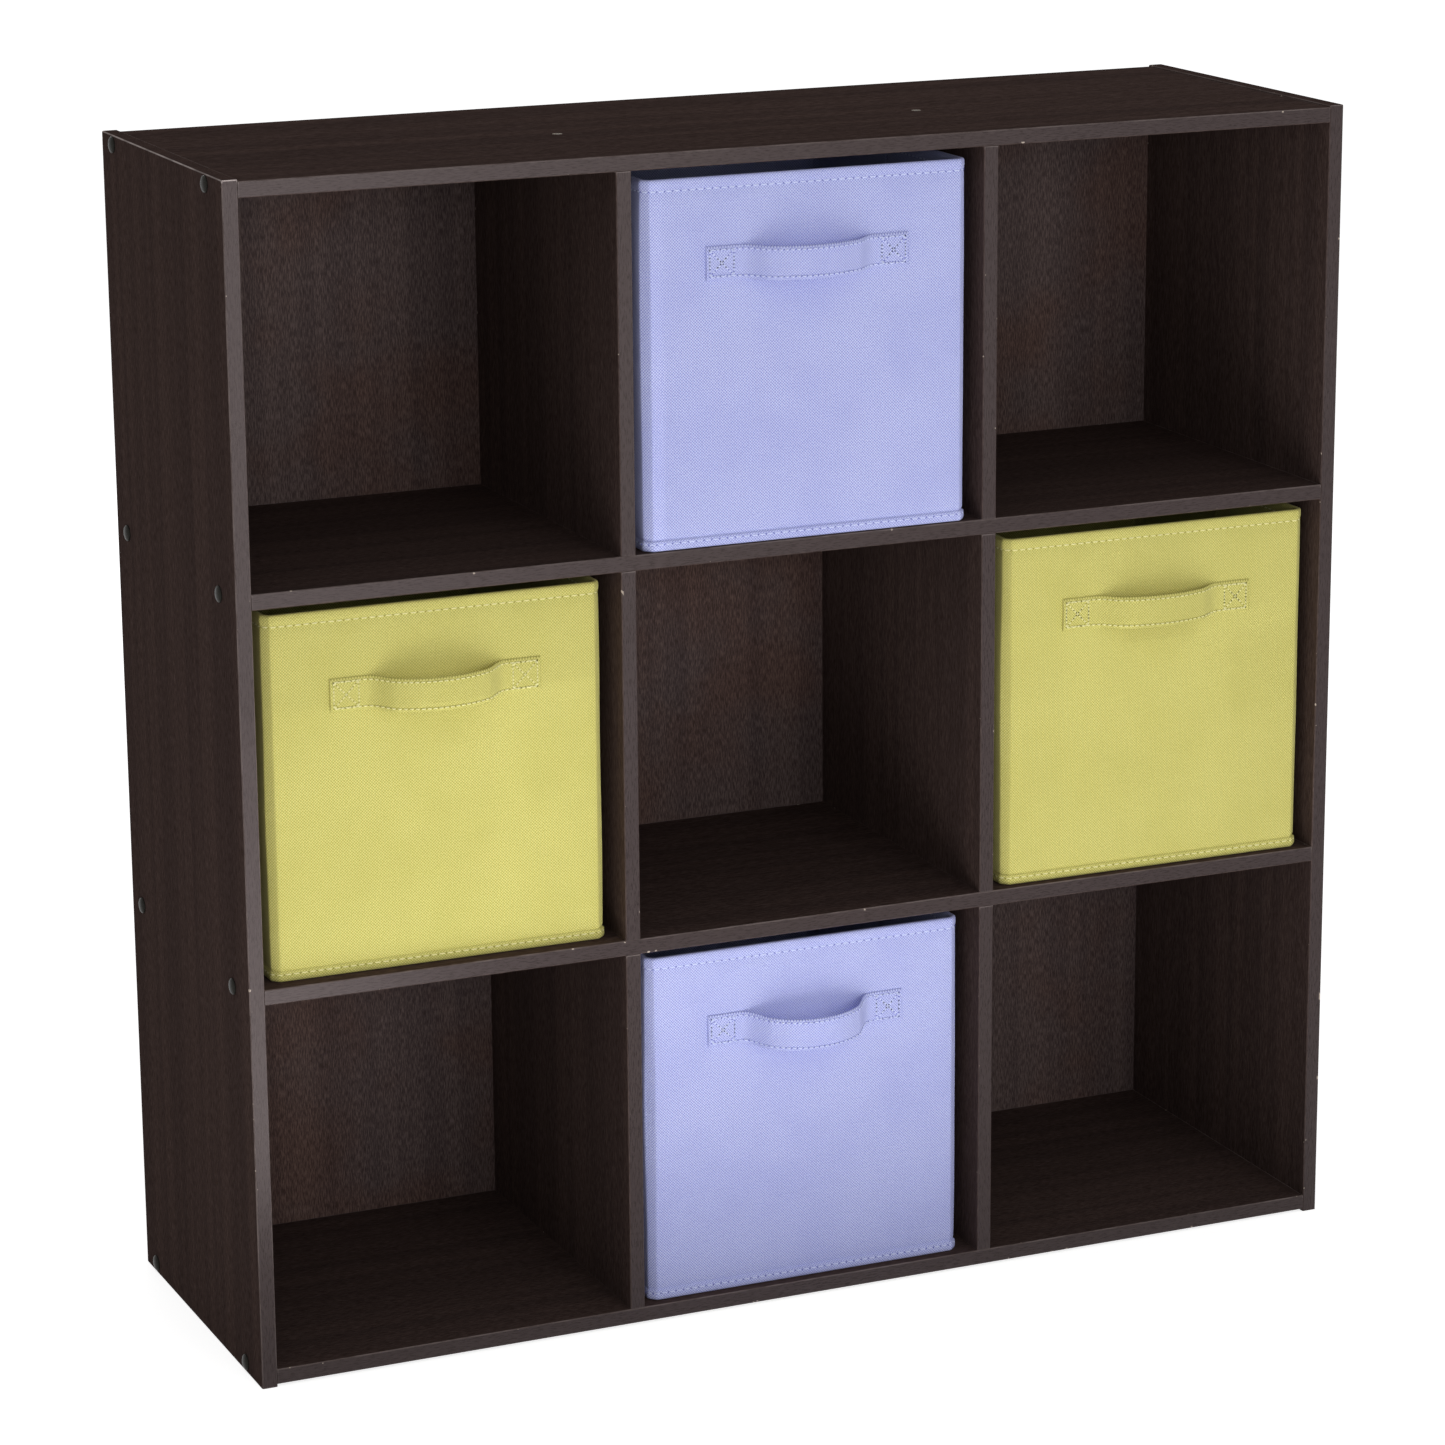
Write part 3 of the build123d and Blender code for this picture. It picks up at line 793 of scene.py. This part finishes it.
def screw_caps(material):
    """Domed caps over the side screws, in place of the faceted ones."""
    dome = [
        (cap_radius - cap_rim_inset, 0.0),
        (cap_radius, cap_rim_rounding),
        (cap_radius, cap_rim_height),
    ]
    for i in range(1, dome_steps + 1):
        angle = math.pi / 2 * i / dome_steps
        radius = max(cap_radius * math.cos(angle), closed_radius)
        dome.append((radius, cap_rim_height + (cap_height - cap_rim_height) * math.sin(angle)))
    for side, sign in (("left", -1), ("right", 1)):
        low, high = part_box(side + "_side_panel")
        face = low.x if sign < 0 else high.x
        places = []
        for board in level_boards:
            board_low, board_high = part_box(board)
            level = (board_low.z + board_high.z) / 2
            for y in (low.y + front_screw_setback, high.y - rear_screw_setback):
                places.append((Vector((face, y, level)), Vector((sign, 0, 0))))
        turned_piece(side + "_caps", material, [side + "_screw_caps"], dome, places)


def divider_screws(material):
    """Flush screw heads with their sockets, in place of the faceted ones."""
    head = [
        (shank_radius, -shank_length),
        (shank_radius, -screw_head_height),
        (screw_head_radius, -screw_head_height),
        (screw_head_radius, -screw_head_rounding),
        (screw_head_radius - screw_head_rounding, 0.0),
        (socket_radius + socket_rounding, 0.0),
        (socket_radius, -socket_rounding),
        (socket_radius, -socket_depth),
        (closed_radius, -socket_depth - socket_tip),
    ]
    socket_rings = (6, 7)
    for end, board, sign in (("top", "top_panel", 1), ("bottom", "bottom_panel", -1)):
        low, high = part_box(board)
        level = high.z if sign > 0 else low.z
        places = []
        for side in ("left", "right"):
            divider_low, divider_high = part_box(f"{end}_{side}_divider")
            place = Vector(((divider_low.x + divider_high.x) / 2, low.y + divider_screw_setback, level))
            places.append((place, Vector((0, 0, sign))))
        replaced = [end + "_divider_screws"]
        turned_piece(end + "_screw_heads", material, replaced, head, places, socket_rings)


def dress(name, material):
    """Give a solid its material."""
    slots = nodes[name].data.materials
    slots.clear()
    slots.append(material)


def area_light(name, place, target, width, height, power, turn=0.0, mirrored=True):
    """Soft rectangular lamp that looks from its place at a target, turned about its beam.

    A lamp that isn't mirrored lights the part but doesn't show in its gloss.
    """
    lamp = bpy.data.lights.new(name, "AREA")
    lamp.shape = "RECTANGLE"
    lamp.size = width
    lamp.size_y = height
    lamp.energy = power
    made = bpy.data.objects.new(name, lamp)
    bpy.context.scene.collection.objects.link(made)
    made.location = place
    made.rotation_euler = (Vector(target) - Vector(place)).to_track_quat("-Z", "Y").to_euler()
    made.rotation_euler.rotate_axis("Z", turn)
    made.visible_camera = False
    made.visible_glossy = mirrored


def floor_light(name, x, y, width, length, power, turn=0.0, mirrored=True):
    """Lamp on the floor that looks up, as light that the floor throws back."""
    place, target = (x, y, floor_lamp_height), (x, y, 1.0)
    area_light(name, place, target, width, length, power, turn, mirrored)


def pale_floor():
    """Wide floor under the unit."""
    low, high = -floor_reach, floor_reach
    corners = [(low, low, 0), (high, low, 0), (high, high, 0), (low, high, 0)]
    mesh = bpy.data.meshes.new("floor")
    mesh.from_pydata(corners, [], [(0, 1, 2, 3)])
    mesh.materials.append(floor_material())
    floor = bpy.data.objects.new("floor", mesh)
    bpy.context.scene.collection.objects.link(floor)


def lamps():
    """A broad lamp in front, light thrown back by the floor, and fills."""
    area_light("key", (0.75, -7.0, 1.7), lamp_target, 3.4, 2.6, 120.0)
    floor_light("near_bounce", -0.1, -0.85, 1.9, 1.1, 6.0, mirrored=False)
    floor_light("strip_bounce", 0.06, -1.74, 0.28, 2.65, 9.5, strip_turn)
    floor_light("far_bounce", 1.38, -5.86, 0.55, 6.0, 50.0, strip_turn)
    area_light("front_fill", (-1.5, -3.6, 1.42), lamp_target, 0.6, 0.6, 11.0, mirrored=False)
    area_light("back_fill", (0.6, 3.2, 1.5), (0, 0, 0.5), 1.8, 1.4, 16.0)


def surroundings():
    """Plain ambient light, in front of a white backdrop."""
    world = bpy.data.worlds.new("studio")
    bpy.context.scene.world = world
    sky = Shader(world)
    white = colour(1.0, 1.0, 1.0)
    ambient = sky.node("Background", {"Color": white, "Strength": ambient_level})[0]
    backdrop = sky.node("Background", {"Color": white, "Strength": backdrop_level})[0]
    sky.finish(sky.node("MixShader", {0: sky.seen(), 1: ambient, 2: backdrop})[0])


def photograph():
    """Camera where the photographer stood."""
    lens = bpy.data.cameras.new("camera")
    lens.sensor_width = sensor_width
    lens.lens = focal_length / photo_width * sensor_width
    camera = bpy.data.objects.new("camera", lens)
    bpy.context.scene.collection.objects.link(camera)
    flat = math.cos(camera_pitch)
    ahead = Vector((math.sin(camera_yaw) * flat, math.cos(camera_yaw) * flat, math.sin(camera_pitch)))
    right = Vector((math.cos(camera_yaw), -math.sin(camera_yaw), 0))
    above = right.cross(ahead)
    tilted = right * math.cos(camera_roll) + above * math.sin(camera_roll)
    upright = tilted.cross(ahead)
    turn = Matrix((tilted, upright, -ahead)).transposed().to_4x4()
    camera.matrix_world = Matrix.Translation(camera_place) @ turn
    bpy.context.scene.camera = camera
    bpy.context.scene.view_settings.view_transform = "Standard"


for board in upright_boards:
    wear_and_highlight = left_side_wear_and_highlight if board == "left_side_panel" else usual_wear_and_highlight
    dress(board, laminate(board, 2, wear_and_highlight))
for board in level_boards:
    dress(board, laminate(board, 0, usual_wear_and_highlight))
for column in ("left", "middle", "right"):
    dress(column + "_back_board", hardboard(column))

plated = steel("screw_steel", colour(0.26, 0.24, 0.215), colour(0.15, 0.14, 0.13), 0.45)
bright = steel("nail_steel", colour(0.66, 0.66, 0.66), colour(0.45, 0.45, 0.45), 0.3)
for side in ("left", "right"):
    dress(side + "_side_screws", plated)
dress("back_board_nails", bright)
dress("divider_dowels", beech())
screw_caps(cap_plastic())
divider_screws(plated)

# The second colour of each cloth is mostly painted shade in the grooves of the hatch
blue = bonded_cloth("blue_cloth", colour(0.68, 0.72, 0.97), colour(0.25, 0.272, 0.66))
green = bonded_cloth("green_cloth", colour(0.79, 0.73, 0.272), colour(0.42, 0.388, 0.074))
# The last colour of each thread is the painted shade of its needle holes
blue_thread = thread(
    "blue_thread", colour(0.78, 0.82, 1.0), colour(0.56, 0.61, 0.95), colour(0.16, 0.175, 0.5)
)
green_thread = thread(
    "green_thread", colour(0.95, 0.92, 0.55), colour(0.78, 0.74, 0.32), colour(0.33, 0.3, 0.055)
)
stiff_board = pressed_board()
for drawer, sag in strap_sags.items():
    is_blue = drawer in ("top_drawer", "bottom_drawer")
    fabric = blue if is_blue else green
    sewing_thread = blue_thread if is_blue else green_thread
    drawer_shell(drawer, fabric, sewing_thread)
    drawer_strap(drawer, fabric, sewing_thread, sag)
    dress(drawer + "_side_boards", stiff_board)
    dress(drawer + "_base_board", stiff_board)

pale_floor()
lamps()
surroundings()
photograph()
